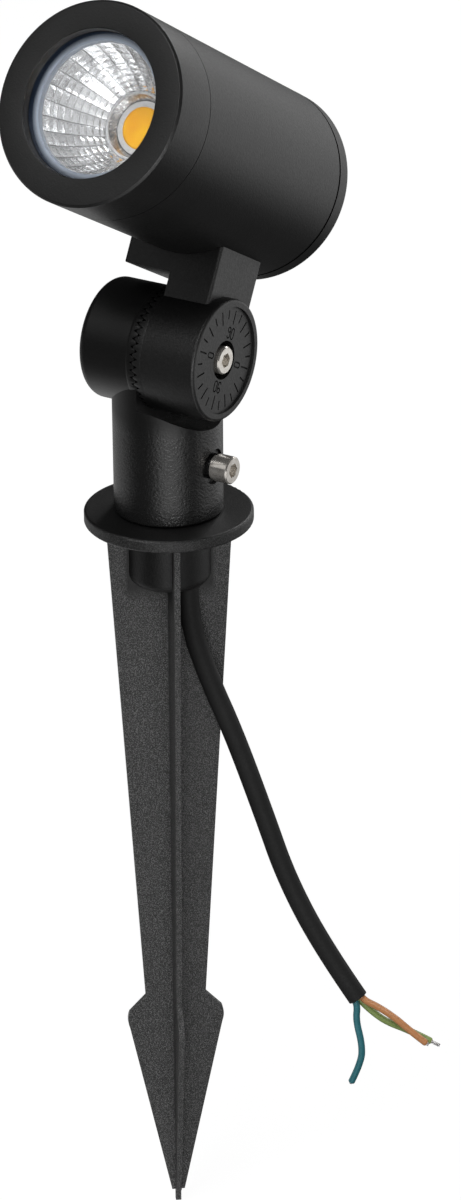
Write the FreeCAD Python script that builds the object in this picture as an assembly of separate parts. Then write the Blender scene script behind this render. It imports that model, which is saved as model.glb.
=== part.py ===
import FreeCAD, Part
import math
import os

# Garden spike spotlight, in millimetres.
# Row frame: the origin is on the spike's axis at the underside of its flange, which is the
# ground line. +Z is up, +X is the knuckle's axis towards its dial, and the lamp looks
# towards -Y with its nose raised.
# Head frame: +Y runs along the lamp from front to rear, +Z is up across it, and the origin
# is on the knuckle's axis. It is turned nose up and lifted into the row frame at the end.

# ---- Clearances -----------------------------------------------------------------------
turn_gap = 0.3             # between faces that move past each other
fit_gap = 0.05             # radial, a shaft in the hole that it turns in
seat_gap = 0.05            # radial, between parts put together in one body

# ---- Ground spike ---------------------------------------------------------------------
flange_radius = 26.0
flange_thickness = 4.0
flange_edge_radius = 0.8
spigot_radius = 13.0
spigot_height = 22.0       # above the flange
spigot_chamfer = 1.0
retain_groove_depth = 1.2  # the clamp screw's tip runs in this groove
retain_groove_slack = 0.6  # each side of the screw
cup_radius = 12.7
cup_depth = 20.0
cup_floor = 2.5
cup_corner_radius = 3.0
inner_bore_radius = 10.6
rib_thickness = 1.8
rib_first_angle = -50.0    # degrees from +X
rib_top_radius = 19.5
rib_neck_radius = 9.8
rib_neck_depth = 168.0
barb_radius = 15.7
barb_depth = 176.5
barb_shoulder_depth = 173.8
barb_nose_depth = 179.5
barb_nose_step = 0.5
tip_radius = 2.1
tip_depth = 243.5
nib_half_width = 0.8
spike_depth = 248.0

# ---- Supply cable ---------------------------------------------------------------------
cable_radius = 3.2
cable_exit_offset = 7.2    # from the spike's axis
cable_exit_angle = -5.0    # degrees from +X, between two ribs
cable_plane_angle = 6.0    # degrees from +X, the upright plane that the free cable hangs in
grommet_wall = 0.8
grommet_flange_wall = 1.8
grommet_flange_height = 1.0
core_radius = 1.1
core_pitch_radius = 1.45   # of the three cores inside the sheath
core_straight = 6.0        # before the first bend of a core
strand_radius = 0.55
strand_length = 3.2        # of the green and yellow core, which is stripped furthest
strand_stub = 0.9          # of the blue and the brown core
inner_cable_top = 25.0

# ---- Base post and clamp screw --------------------------------------------------------
post_radius = 16.75
post_foot_radius = 0.8
wire_way_radius = 3.4
wire_way_x = -6.8
wire_clearance = 0.25
screw_radius = 2.5         # M5
screw_head_radius = 4.25
screw_head_height = 5.0
screw_socket_flats = 4.0
screw_socket_depth = 2.6
screw_head_chamfer = 0.4
screw_tip_chamfer = 0.4
clamp_height = 21.1
clamp_boss_radius = 4.0
clamp_boss_reach = 0.45    # beyond the post's wall
clamp_recess_radius = 5.5  # round the boss
clamp_recess_depth = 1.5   # below the post's wall
spring_washer_thickness = 1.0
spring_washer_radius = 4.1
spring_washer_slit = 0.9

# ---- Knuckle --------------------------------------------------------------------------
knuckle_height = 56.0
knuckle_radius = 18.5
post_half_width = 20.1
post_half_edge_radius = 2.5
bracket_half_width = 21.0
tooth_count = 24
tooth_depth = 1.5          # at the rim
tooth_ring_inner_radius = 13.0
tooth_cutter_reach = 1.3   # of the knuckle's radius
knuckle_cavity_radius = 10.8
knuckle_cavity_depth = 9.0
knuckle_boss_radius = 5.6
bracket_wire_x = 5.5       # of the wire way up through the bracket
wire_way_margin = 1.0      # between the bolt's boss and the wire ways
cable_end_gap = 0.5        # a cable stops this far short of its wire way's end
seal_width = 1.4
seal_depth = 1.7
shelf_gap = 3.8            # round the bracket's half, where the post is cut away
bolt_hole_radius = 2.6
dial_rim_width = 2.3
dial_recess_depth = 0.8
dial_rim_edge_radius = 1.0
counterbore_radius = 5.9
bolt_head_sink = 0.1       # below the dial's rim
plain_washer_thickness = 1.0
plain_washer_radius = 5.0
washer_gap = 0.1           # the bracket turns under the washer
nut_flats = 8.0
nut_thickness = 4.0
nut_pocket_depth = 6.0
bolt_end_margin = 1.0      # the bolt stops this far inside the post's half
dial_mark_count = 24       # one for each tooth of the knuckle
dial_mark_depth = 0.3      # of the marks and numbers
dial_mark_width = 0.5
dial_mark_length = 4.2     # every second mark
dial_mark_short = 2.8
dial_mark_margin = 1.1     # between the marks and the dial's rim
dial_number_radius = 8.2   # of the numbers' middle
dial_number_height = 3.7
dial_number_width = 1.9
dial_number_stroke = 0.45
dial_number_pitch = 2.2

# ---- Bracket between knuckle and lamp -------------------------------------------------
bracket_front = -12.0
bracket_rear = 13.0
arm_left = 1.8
arm_right = 17.2
saddle_left = -14.6
saddle_thickness = 5.6     # under the lamp
bracket_edge_radius = 1.0

# ---- Lamp head ------------------------------------------------------------------------
nose_up_angle = 28.4       # degrees, in the rest pose
head_axis_height = 57.0
head_axis_x = 1.2
head_radius = 29.8
head_front = -76.8
head_rear = 29.4
bezel_length = 16.9
bezel_edge_chamfer = 0.7
seam_gap = 0.4
rear_cap_thickness = 6.0
rear_cap_edge_radius = 1.6
rear_spigot_length = 8.0
opening_radius = 21.3
opening_inner_radius = 20.6
glass_recess = 2.9
glass_radius = 24.0
glass_thickness = 3.0
gasket_thickness = 0.8
gasket_inner_radius = 18.6
body_wall_rear = 3.3
front_spigot_wall = 2.6
front_spigot_radius = 27.0
led_floor_thickness = 6.0
led_depth = 32.0           # light-emitting face below the bezel's front
led_board_width = 19.0
led_board_thickness = 1.2
led_disc_radius = 6.3
led_disc_height = 0.35
led_dam_width = 1.6        # of the ring round the disc
led_dam_height = 0.45
thermal_pad_radius = 11.0
thermal_pad_thickness = 0.4
holder_radius = 14.6
holder_opening_radius = 10.0
holder_throat_gap = 0.15   # round the dam, where the opening is narrowest
holder_height = 4.8
holder_screw_radius = 1.0
holder_screw_head_radius = 1.6
holder_screw_head_height = 1.2
holder_screw_circle = 12.3
reflector_rim_radius = 18.2
reflector_neck_radius = 10.1
reflector_flange_radius = 25.6
reflector_wall = 1.0
reflector_columns = 26
reflector_rows = 9
reflector_row_crowding = 0.25  # the rows get this much closer towards the neck
reflector_bulge = 1.1
ring_section_radius = 0.7
ring_groove_depth = 1.5
ring_groove_slack = 0.1    # each side of the ring
driver_length = 42.0
driver_thickness = 1.6
driver_height_above_axis = -8.0
driver_clearance = 4.0
driver_part_gap = 2.0
transformer_width = 16.0
transformer_length = 14.0
transformer_height = 13.0
capacitor_radius = 5.0
small_capacitor_radius = 4.0
capacitor_height = 12.0
coil_radius = 5.5
coil_height = 6.0
lead_radius = 0.7
lead_spacing = 9.0
lead_drop = 3.0            # of the leads below the light's holder
lead_front_reach = 1.5     # past the floor
lead_rear_reach = 1.0      # under the driver board
bracket_screw_radius = 2.0
bracket_screw_head_radius = 3.5
bracket_screw_head_height = 2.4
bracket_screw_spacing = 16.5
bracket_screw_length = 9.0
screw_pad_height = 1.5
screw_pad_margin = 1.0     # round the screws' heads

origin = FreeCAD.Vector(0, 0, 0)
AXES = {"X": FreeCAD.Vector(1, 0, 0), "Y": FreeCAD.Vector(0, 1, 0), "Z": FreeCAD.Vector(0, 0, 1)}
far = 200.0                # longer than any cut needs
overrun = 1.0              # a cutter or a joined piece runs this far past a face


# ---- Helpers --------------------------------------------------------------------------
def place(axis, along, first, second):
    """A point given along an axis and across it, the other two axes in X, Y, Z order."""
    if axis == "X":
        return FreeCAD.Vector(along, first, second)
    if axis == "Y":
        return FreeCAD.Vector(first, along, second)
    return FreeCAD.Vector(first, second, along)


def rod(axis, radius, start, end, first=0.0, second=0.0):
    return Part.makeCylinder(radius, end - start, place(axis, start, first, second), AXES[axis])


def tube(axis, outer, inner, start, end, first=0.0, second=0.0):
    bore = rod(axis, inner, start - overrun, end + overrun, first, second)
    return rod(axis, outer, start, end, first, second).cut(bore)


def block(x0, x1, y0, y1, z0, z1):
    return Part.makeBox(x1 - x0, y1 - y0, z1 - z0, FreeCAD.Vector(x0, y0, z0))


def spin(axis, profile, first=0.0, second=0.0):
    """A turned solid from (radius, along) corners round a line parallel to an axis."""
    corners = [place(axis, along, first, second + radius) for radius, along in profile]
    if axis == "Z":
        corners = [place(axis, along, first + radius, second) for radius, along in profile]
    outline = Part.makePolygon(corners + [corners[0]])
    return Part.Face(outline).revolve(place(axis, 0, first, second), AXES[axis], 360)


def hex_bar(flats, start, end, first=0.0, second=0.0):
    """A six-sided bar along X."""
    corner = flats / math.sqrt(3)
    turns = [math.radians(60 * k) for k in range(7)]
    points = [FreeCAD.Vector(start, first + corner * math.cos(a), second + corner * math.sin(a))
              for a in turns]
    return Part.Face(Part.makePolygon(points)).extrude(FreeCAD.Vector(end - start, 0, 0))


def fuse(first, *others):
    return first.fuse(list(others)).removeSplitter()


def edges_on(shape, test):
    """Edges whose two ends and middle all pass a test on their points."""
    found = []
    for edge in shape.Edges:
        middle = edge.valueAt((edge.FirstParameter + edge.LastParameter) / 2)
        if all(test(point) for point in [vertex.Point for vertex in edge.Vertexes] + [middle]):
            found.append(edge)
    return found


def near(value, target, slack=0.01):
    return abs(value - target) < slack


def turned(shape, axis, degrees, about=origin):
    copy = shape.copy()
    copy.rotate(about, AXES[axis], degrees)
    return copy


def to_row(shape):
    """Take a shape from the head frame to the row frame."""
    copy = turned(shape, "X", -nose_up_angle)
    copy.translate(FreeCAD.Vector(0, 0, knuckle_height))
    return copy


def cap_screw(tip, seat, radius, head_radius, head_height, flats, first=0.0, second=0.0):
    """A socket cap screw along X, its head on the +X side of its seat."""
    top = seat + head_height
    profile = [(0, tip), (radius - screw_tip_chamfer, tip),
               (radius, tip + screw_tip_chamfer), (radius, seat),
               (head_radius, seat), (head_radius, top - screw_head_chamfer),
               (head_radius - screw_head_chamfer, top), (0, top)]
    socket = hex_bar(flats, top - screw_socket_depth, top + overrun, first, second)
    return spin("X", profile, first, second).cut(socket)


# ---- Ground spike ---------------------------------------------------------------------
clamp_groove_half = screw_radius + retain_groove_slack


def rib_plate():
    """Two opposite ribs with their barbs and the point, as one flat plate."""
    def at(radius, depth):
        return FreeCAD.Vector(radius, -rib_thickness / 2, -depth)

    def side(sign):
        shoulder = at(sign * (barb_radius - barb_nose_step), barb_shoulder_depth)
        crown = at(sign * barb_radius, barb_depth)
        nose = at(sign * (barb_radius - barb_nose_step), barb_nose_depth)
        neck = at(sign * rib_neck_radius, rib_neck_depth)
        tip = at(sign * tip_radius, tip_depth)
        nib = at(sign * nib_half_width, tip_depth)
        return [Part.LineSegment(at(sign * rib_top_radius, 0), neck),
                Part.LineSegment(neck, shoulder),
                Part.Arc(shoulder, crown, nose),
                Part.LineSegment(nose, tip),
                Part.LineSegment(tip, nib),
                Part.LineSegment(nib, at(sign * nib_half_width, spike_depth))]

    top = Part.LineSegment(at(-rib_top_radius, 0), at(rib_top_radius, 0))
    foot = Part.LineSegment(at(-nib_half_width, spike_depth), at(nib_half_width, spike_depth))
    edges = [part.toShape() for part in [top, *side(1), foot, *side(-1)]]
    outline = Part.Wire(Part.__sortEdges__(edges))
    return Part.Face(outline).extrude(FreeCAD.Vector(0, rib_thickness, 0))


def cable_exit():
    turn = math.radians(cable_exit_angle)
    return cable_exit_offset * math.cos(turn), cable_exit_offset * math.sin(turn)


def ground_spike():
    flange = rod("Z", flange_radius, 0, flange_thickness)
    rims = edges_on(flange, lambda p: near(math.hypot(p.x, p.y), flange_radius)
                    and (near(p.z, 0) or near(p.z, flange_thickness)))
    flange = flange.makeFillet(flange_edge_radius, rims)
    top = flange_thickness + spigot_height
    groove = spigot_radius - retain_groove_depth
    spigot = spin("Z", [(0, 0), (spigot_radius, 0), (spigot_radius, clamp_height - clamp_groove_half),
                        (groove, clamp_height - clamp_groove_half),
                        (groove, clamp_height + clamp_groove_half),
                        (spigot_radius, clamp_height + clamp_groove_half),
                        (spigot_radius, top - spigot_chamfer), (spigot_radius - spigot_chamfer, top),
                        (0, top)])
    cup = rod("Z", cup_radius, -cup_depth, 0)
    cup = cup.makeFillet(cup_corner_radius, edges_on(cup, lambda p: near(p.z, -cup_depth)))
    plates = [turned(rib_plate(), "Z", rib_first_angle + quarter) for quarter in (0, 90)]
    outside = flange.fuse([spigot, cup, *plates])
    x, y = cable_exit()
    bore = rod("Z", inner_bore_radius, cup_floor - cup_depth, top + overrun)
    exit_hole = rod("Z", cable_radius + grommet_wall + seat_gap, -cup_depth - overrun, 0, x, y)
    below_cup = rod("Z", cable_radius + grommet_wall + seat_gap, -cup_depth, cup_floor - cup_depth, x, y)
    return outside.cut([bore, exit_hole.common(below_cup)]).removeSplitter()


def cable_grommet():
    x, y = cable_exit()
    floor_top = cup_floor - cup_depth
    hole = cable_radius + seat_gap
    sleeve = tube("Z", cable_radius + grommet_wall, hole, -cup_depth, floor_top, x, y)
    reach = min(cable_radius + grommet_flange_wall, inner_bore_radius - cable_exit_offset + cable_radius)
    collar = tube("Z", reach, hole, floor_top, floor_top + grommet_flange_height, x, y)
    room = rod("Z", inner_bore_radius - seat_gap, -cup_depth, floor_top + grommet_flange_height + overrun)
    return fuse(sleeve, collar.common(room))


# ---- Cables: straight runs joined by tangent arcs -------------------------------------
def hang(points):
    """Points given as (distance from the exit, height, sideways) in the cable's plane."""
    x, y = cable_exit()
    turn = math.radians(cable_plane_angle)
    out = FreeCAD.Vector(math.cos(turn), math.sin(turn), 0)
    side = FreeCAD.Vector(-math.sin(turn), math.cos(turn), 0)
    return [FreeCAD.Vector(x, y, 0) + out * s + side * w + FreeCAD.Vector(0, 0, z)
            for s, z, w in points]


CABLE_ROUTE = hang([(0.0, -cup_depth, 0.0), (0.0, -32.0, 0.0), (6.0, -50.0, 0.6),
                    (14.6, -68.5, 1.2), (25.2, -95.0, 1.0), (33.0, -115.0, 0.4),
                    (45.5, -136.3, 0.0), (58.3, -152.4, 0.0)])


def core_start(position):
    """Where one of the three cores leaves the sheath, and a point a little further out."""
    run = (CABLE_ROUTE[-1] - CABLE_ROUTE[-2]).normalize()
    side = run.cross(AXES["Z"]).normalize()
    over = side.cross(run).normalize()
    turn = math.radians(position)
    offset = (side * math.cos(turn) + over * math.sin(turn)) * core_pitch_radius
    return CABLE_ROUTE[-1] + offset, run


def core_route(position, points):
    start, run = core_start(position)
    return [start, start + run * core_straight, *hang(points)]


CORE_ROUTES = {
    "core_blue": core_route(210, [(62.6, -167.0, 1.2), (60.6, -177.0, 2.0), (56.6, -186.0, 2.4)]),
    "core_green_yellow": core_route(330, [(68.6, -160.8, -1.6), (76.0, -161.8, -1.4),
                                          (83.4, -161.4, 0.6)]),
    "core_brown": core_route(90, [(69.8, -157.4, 1.0), (76.2, -160.6, 2.2), (82.4, -163.2, 3.0)]),
}


def bent_path(points, name):
    edges, radii = [], []
    at = points[0]
    length = 0.0
    for before, corner, after in zip(points, points[1:], points[2:]):
        run_in, run_out = corner - before, after - corner
        half = run_in.getAngle(run_out) / 2
        radius = 0.45 * min(run_in.Length, run_out.Length) / math.tan(half)
        back = radius * math.tan(half)
        start = corner - run_in.normalize() * back
        end = corner + run_out.normalize() * back
        centre_way = (end - corner) + (start - corner)
        centre = corner + centre_way.normalize() * (radius / math.cos(half))
        middle = centre + (corner - centre).normalize() * radius
        edges += [Part.LineSegment(at, start).toShape(), Part.Arc(start, middle, end).toShape()]
        length += (start - at).Length + radius * 2 * half
        at = end
        radii.append(radius)
    edges.append(Part.LineSegment(at, points[-1]).toShape())
    length += (points[-1] - at).Length
    print(name, "length", round(length, 1), "radii", [round(r, 1) for r in radii])
    return Part.Wire(edges), length


def cord(points, radius, name):
    path, length = bent_path(points, name)
    section = Part.Wire(Part.Circle(points[0], points[1] - points[0], radius).toShape())
    solid = path.makePipeShell([section], True, False)
    print(name, "volume ratio", round(solid.Volume / (math.pi * radius ** 2 * length), 4))
    return solid


STRAND_LENGTHS = {"core_blue": strand_stub, "core_green_yellow": strand_length, "core_brown": strand_stub}


def wire_ends():
    """The bare strands, twisted and tinned, at the end of each core."""
    ends = []
    for name, points in CORE_ROUTES.items():
        run = (points[-1] - points[-2]).normalize()
        ends.append(Part.makeCylinder(strand_radius, STRAND_LENGTHS[name], points[-1], run))
    return Part.makeCompound(ends)


def inner_cable():
    """The cable from the exit up through the spigot's bore."""
    x, y = cable_exit()
    return rod("Z", cable_radius, -cup_depth, inner_cable_top, x, y)


# ---- Knuckle teeth --------------------------------------------------------------------
tip_plane = turn_gap / 2


def tooth_gaps(facing, offset):
    """Wedges that leave a ring of face teeth; facing is +1 for teeth that point to +X."""
    apex = FreeCAD.Vector(-facing * tip_plane, 0, 0)
    wedges = []
    for k in range(tooth_count):
        turn = 2 * math.pi * (k + offset) / tooth_count
        half = math.pi / tooth_count
        rim = knuckle_radius * tooth_cutter_reach
        depth = tooth_depth * tooth_cutter_reach

        def corner(angle, sink):
            return FreeCAD.Vector(apex.x - facing * sink, rim * math.cos(angle), rim * math.sin(angle))

        left, right, valley = corner(turn - half, 0), corner(turn + half, 0), corner(turn, depth)
        faces = [Part.Face(Part.makePolygon(loop + [loop[0]])) for loop in
                 ([apex, left, valley], [apex, valley, right], [apex, right, left], [left, right, valley])]
        wedges.append(Part.makeSolid(Part.makeShell(faces)))
    return wedges


def knuckle_cavity(facing):
    """The ring-shaped wire space round the bolt's boss, open towards the other half."""
    near_end, far_end = sorted([0.0, -facing * knuckle_cavity_depth])
    ring = tube("X", knuckle_cavity_radius, knuckle_boss_radius, near_end, far_end)
    step = sorted([0.0, -facing * (tip_plane + tooth_depth)])
    return ring.fuse(tube("X", tooth_ring_inner_radius, knuckle_boss_radius, step[0], step[1]))


# ---- Base post ------------------------------------------------------------------------
post_wire_way_top = knuckle_height - knuckle_boss_radius - wire_way_margin


def base_post():
    foot = flange_thickness + turn_gap
    shoulder = knuckle_height - math.sqrt(knuckle_radius ** 2 - post_radius ** 2)
    column = rod("Z", post_radius, foot, shoulder)
    column = column.makeFillet(post_foot_radius, edges_on(column, lambda p: near(p.z, foot)))
    shelf = rod("X", knuckle_radius + shelf_gap, -tip_plane, far, 0, knuckle_height)
    column = column.cut(shelf)
    half = rod("X", knuckle_radius, -post_half_width, -tip_plane)
    half = half.makeFillet(post_half_edge_radius, edges_on(half, lambda p: near(p.x, -post_half_width)))
    half = half.cut(tooth_gaps(1, 0))
    half.translate(FreeCAD.Vector(0, 0, knuckle_height))
    boss_end = post_radius + clamp_boss_reach
    boss = rod("X", clamp_boss_radius, spigot_radius + overrun, boss_end, 0, clamp_height)
    socket_top = flange_thickness + spigot_height + turn_gap
    socket = rod("Z", spigot_radius + fit_gap, 0, socket_top)
    wire_way = rod("Z", wire_way_radius, socket_top - overrun, post_wire_way_top, wire_way_x, 0)
    cavity = knuckle_cavity(1)
    seal_seat = tube("X", knuckle_cavity_radius + seal_width, knuckle_boss_radius,
                     -tip_plane - tooth_depth - seal_depth, 0)
    bolt_hole = rod("X", bolt_hole_radius, -far, far)
    nut_pocket = hex_bar(nut_flats + 2 * seat_gap, -post_half_width - overrun,
                         nut_pocket_depth - post_half_width)
    cuts = [cavity, seal_seat, bolt_hole, nut_pocket]
    for cut in cuts:
        cut.translate(FreeCAD.Vector(0, 0, knuckle_height))
    screw_hole = rod("X", screw_radius + seat_gap, 0, far, 0, clamp_height)
    recess = rod("X", clamp_recess_radius, post_radius - clamp_recess_depth, far, 0, clamp_height)
    return fuse(column.cut(recess), half, boss).cut([socket, wire_way, *cuts, screw_hole]).removeSplitter()


def clamp_screw():
    tip = spigot_radius - retain_groove_depth + turn_gap
    seat = post_radius + clamp_boss_reach + spring_washer_thickness
    return cap_screw(tip, seat, screw_radius, screw_head_radius, screw_head_height,
                     screw_socket_flats, 0, clamp_height)


def clamp_spring_washer():
    start = post_radius + clamp_boss_reach
    ring = tube("X", spring_washer_radius, screw_radius + 2 * seat_gap, start,
                start + spring_washer_thickness, 0, clamp_height)
    slit = block(start - overrun, start + spring_washer_thickness + overrun, -spring_washer_slit / 2,
                 spring_washer_slit / 2, clamp_height, clamp_height + far)
    return ring.cut(slit)


def post_cable():
    """The cable between the spigot and the knuckle's cavity."""
    start = flange_thickness + spigot_height + turn_gap
    end = post_wire_way_top - cable_end_gap
    return rod("Z", wire_way_radius - wire_clearance, start, end, wire_way_x, 0)


# ---- Knuckle fasteners and seal -------------------------------------------------------
bolt_seat = bracket_half_width - bolt_head_sink - screw_head_height


def knuckle_bolt():
    tip = bolt_end_margin - post_half_width
    return cap_screw(tip, bolt_seat, screw_radius, screw_head_radius, screw_head_height,
                     screw_socket_flats, 0, knuckle_height)


def knuckle_washer():
    ring = tube("X", plain_washer_radius, screw_radius + seat_gap, bolt_seat - plain_washer_thickness,
                bolt_seat)
    ring.translate(FreeCAD.Vector(0, 0, knuckle_height))
    return ring


def knuckle_nut():
    start = nut_pocket_depth - post_half_width - nut_thickness
    body = hex_bar(nut_flats, start, start + nut_thickness)
    nut = body.cut(rod("X", screw_radius + fit_gap, -far, far))
    nut.translate(FreeCAD.Vector(0, 0, knuckle_height))
    return nut


def knuckle_seal():
    outer = knuckle_cavity_radius + seal_width - seat_gap
    start = -tip_plane - tooth_depth - seal_depth
    ring = tube("X", outer, knuckle_cavity_radius, start, -tip_plane)
    ring.translate(FreeCAD.Vector(0, 0, knuckle_height))
    return ring


# ---- Bracket --------------------------------------------------------------------------
saddle_underside = head_axis_height - head_radius - saddle_thickness
dial_floor = bracket_half_width - dial_recess_depth


def head_bracket():
    half = rod("X", knuckle_radius, tip_plane, bracket_half_width)
    half = half.makeFillet(dial_rim_edge_radius, edges_on(half, lambda p: near(p.x, bracket_half_width)))
    half = half.cut(tooth_gaps(-1, 0.5))
    arm = block(arm_left, arm_right, bracket_front, bracket_rear, 0, head_axis_height)
    saddle = block(saddle_left, arm_right, bracket_front, bracket_rear, saddle_underside, head_axis_height)
    stem = fuse(arm, saddle)
    upright = edges_on(stem, lambda p: (near(p.y, bracket_front) or near(p.y, bracket_rear))
                       and (near(p.x, arm_right) or near(p.x, saddle_left)))
    under = edges_on(stem, lambda p: near(p.z, saddle_underside) and p.x < arm_left - overrun)
    stem = stem.makeFillet(bracket_edge_radius, upright + under)
    keep = rod("X", knuckle_radius - overrun, arm_left, arm_right)
    above = block(-far, far, -far, far, 0, far)
    lamp = rod("Y", head_radius + seat_gap / 2, -far, far, head_axis_x, head_axis_height)
    stem = stem.cut(lamp).common(above)
    whole = fuse(half, stem, keep)
    recess = rod("X", knuckle_radius - dial_rim_width, dial_floor, far)
    counterbore = rod("X", counterbore_radius, bolt_seat - plain_washer_thickness - washer_gap, far)
    bolt_hole = rod("X", bolt_hole_radius, -far, far)
    wire_way = rod("Z", wire_way_radius, knuckle_boss_radius + wire_way_margin, far, bracket_wire_x, 0)
    screws = [rod("Z", bracket_screw_radius + seat_gap, bracket_screw_tip() - overrun, far, head_axis_x, y)
              for y in bracket_screw_places()]
    cuts = [recess, counterbore, bolt_hole, knuckle_cavity(-1), wire_way, *screws]
    return whole.cut(cuts).removeSplitter().cut([*dial_marks(), *dial_numbers()])


def dial_block(y0, y1, z0, z1):
    """A cutter for the dial's face."""
    return block(dial_floor - dial_mark_depth, far, y0, y1, z0, z1)


def dial_oval(width, height):
    """A cutter with round ends, one above the other."""
    rise = (height - width) / 2
    ends = [rod("X", width / 2, dial_floor - dial_mark_depth, far, 0, z) for z in (-rise, rise)]
    return fuse(dial_block(-width / 2, width / 2, -rise, rise), *ends)


def dial_zero():
    stroke = 2 * dial_number_stroke
    inner = dial_oval(dial_number_width - stroke, dial_number_height - stroke)
    return dial_oval(dial_number_width, dial_number_height).cut(inner)


def dial_nine():
    rise = (dial_number_height - dial_number_width) / 2
    loop = rod("X", dial_number_width / 2, dial_floor - dial_mark_depth, far, 0, rise)
    hole = rod("X", dial_number_width / 2 - dial_number_stroke, 0, far, 0, rise)
    tail = dial_zero().cut(block(0, far, -far, 0, -rise, far))
    return fuse(loop.cut(hole), tail)


def dial_numbers():
    """0 at the front and rear of the dial and 90 above and below, their tops outward."""
    sides = [("0", 90), ("0", 270), ("90", 0), ("90", 180)]
    glyphs = {"0": dial_zero(), "9": dial_nine()}
    numbers = []
    for text, turn in sides:
        for k, sign in enumerate(text):
            across = dial_number_pitch * (k - (len(text) - 1) / 2)
            glyph = glyphs[sign].copy()
            glyph.translate(FreeCAD.Vector(0, across, dial_number_radius))
            numbers.append(turned(glyph, "X", turn))
    return numbers


def dial_marks():
    """Cutters for the dial's radial marks, every second one longer."""
    outer = knuckle_radius - dial_rim_width - dial_mark_margin
    marks = []
    for k in range(dial_mark_count):
        length = dial_mark_short if k % 2 else dial_mark_length
        mark = dial_block(-dial_mark_width / 2, dial_mark_width / 2, outer - length, outer)
        marks.append(turned(mark, "X", 360.0 * k / dial_mark_count))
    return marks


# ---- Lamp head ------------------------------------------------------------------------
glass_front = head_front + glass_recess
glass_rear = glass_front + glass_thickness
gasket_rear = glass_rear + gasket_thickness
spigot_front = gasket_rear + reflector_wall
bezel_rear = head_front + bezel_length
body_front = bezel_rear + seam_gap
body_rear = head_rear - rear_cap_thickness - seam_gap
led_top = head_front + led_depth
led_dam_radius = led_disc_radius + seat_gap + led_dam_width
floor_front = led_top + led_board_thickness + thermal_pad_thickness
floor_rear = floor_front + led_floor_thickness
front_bore = front_spigot_radius - front_spigot_wall
rear_bore = head_radius - body_wall_rear
holder_front = floor_front - holder_height
holder_screw_seat = led_top - holder_screw_radius
bracket_middle = (bracket_front + bracket_rear) / 2
pad_top = head_axis_height - rear_bore + screw_pad_height


def lamp_spin(profile):
    return spin("Y", profile, head_axis_x, head_axis_height)


def lamp_rod(radius, start, end):
    return rod("Y", radius, start, end, head_axis_x, head_axis_height)


def lamp_tube(outer, inner, start, end):
    return tube("Y", outer, inner, start, end, head_axis_x, head_axis_height)


def bracket_screw_places():
    return [bracket_middle + side * bracket_screw_spacing / 2 for side in (-1, 1)]


def bracket_screw_tip():
    return pad_top - bracket_screw_length


def ring_groove(centre, radius):
    """A square groove for a sealing ring, cut into a spigot of the given radius."""
    half = ring_section_radius + ring_groove_slack
    return lamp_tube(radius + overrun, radius - ring_groove_depth, centre - half, centre + half)


def sealing_ring(centre, bore):
    """A round sealing ring that bears on the bore round it."""
    middle = bore - seat_gap - ring_section_radius
    torus = Part.makeTorus(middle, ring_section_radius,
                           FreeCAD.Vector(head_axis_x, centre, head_axis_height), AXES["Y"])
    return torus


def front_bezel():
    inner = front_spigot_radius + seat_gap
    c = bezel_edge_chamfer
    return lamp_spin([(opening_radius, head_front), (head_radius - c, head_front),
                      (head_radius, head_front + c), (head_radius, bezel_rear), (inner, bezel_rear),
                      (inner, glass_rear), (glass_radius + seat_gap, glass_rear),
                      (glass_radius + seat_gap, glass_front), (opening_inner_radius, glass_front)])


def lens_glass():
    return lamp_rod(glass_radius, glass_front, glass_rear)


def lens_gasket():
    return lamp_tube(glass_radius, gasket_inner_radius, glass_rear, gasket_rear)


def reflector_levels():
    """(radius, place) of the facet rows, from the rim to the neck."""
    rim, neck = gasket_rear, holder_front
    levels = []
    for row in range(reflector_rows + 1):
        t = row / reflector_rows
        share = t * (1 + reflector_row_crowding) - t * t * reflector_row_crowding
        radius = reflector_rim_radius + (reflector_neck_radius - reflector_rim_radius) * share
        radius += reflector_bulge * math.sin(math.pi * share)
        levels.append((radius, rim + (neck - rim) * share))
    return levels


def reflector():
    """A thin bowl whose inside is cut into flat facets."""
    levels = reflector_levels()
    outer = [(radius + reflector_wall, along) for radius, along in levels]
    neck_out = outer[-1]
    profile = [(0, gasket_rear), (reflector_flange_radius, gasket_rear),
               (reflector_flange_radius, spigot_front), (outer[1][0], spigot_front)]
    profile += [point for point in outer[1:-1] if point[1] > spigot_front] + [neck_out, (0, neck_out[1])]
    bowl = lamp_spin(profile)

    def ring(radius, along):
        points = []
        for k in range(reflector_columns):
            turn = 2 * math.pi * k / reflector_columns
            points.append(FreeCAD.Vector(head_axis_x + radius * math.cos(turn), along,
                                         head_axis_height + radius * math.sin(turn)))
        return points

    rings = [ring(*level) for level in levels]
    faces = [Part.Face(Part.makePolygon(rings[0] + [rings[0][0]])),
             Part.Face(Part.makePolygon(rings[-1] + [rings[-1][0]]))]
    for upper, lower in zip(rings, rings[1:]):
        for k in range(reflector_columns):
            n = (k + 1) % reflector_columns
            loop = [upper[k], upper[n], lower[n], lower[k], upper[k]]
            faces.append(Part.Face(Part.makePolygon(loop)))
    inside = Part.makeSolid(Part.makeShell(faces))
    return bowl.cut(inside)


def led_board():
    """The board with the raised dam that holds the disc."""
    half = led_board_width / 2
    board = block(head_axis_x - half, head_axis_x + half, led_top, led_top + led_board_thickness,
                  head_axis_height - half, head_axis_height + half)
    inner = led_disc_radius + seat_gap
    dam = lamp_spin([(inner, led_top), (inner, led_top - led_dam_height),
                     (led_dam_radius, led_top - led_dam_height), (led_dam_radius, led_top)])
    return fuse(board, dam)


def led_disc():
    return lamp_rod(led_disc_radius, led_top - led_disc_height, led_top)


def thermal_pad():
    return lamp_rod(thermal_pad_radius, floor_front - thermal_pad_thickness, floor_front)


def holder_screw_spots():
    reach = holder_screw_circle
    return [(head_axis_x - reach, head_axis_height), (head_axis_x + reach, head_axis_height)]


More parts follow.
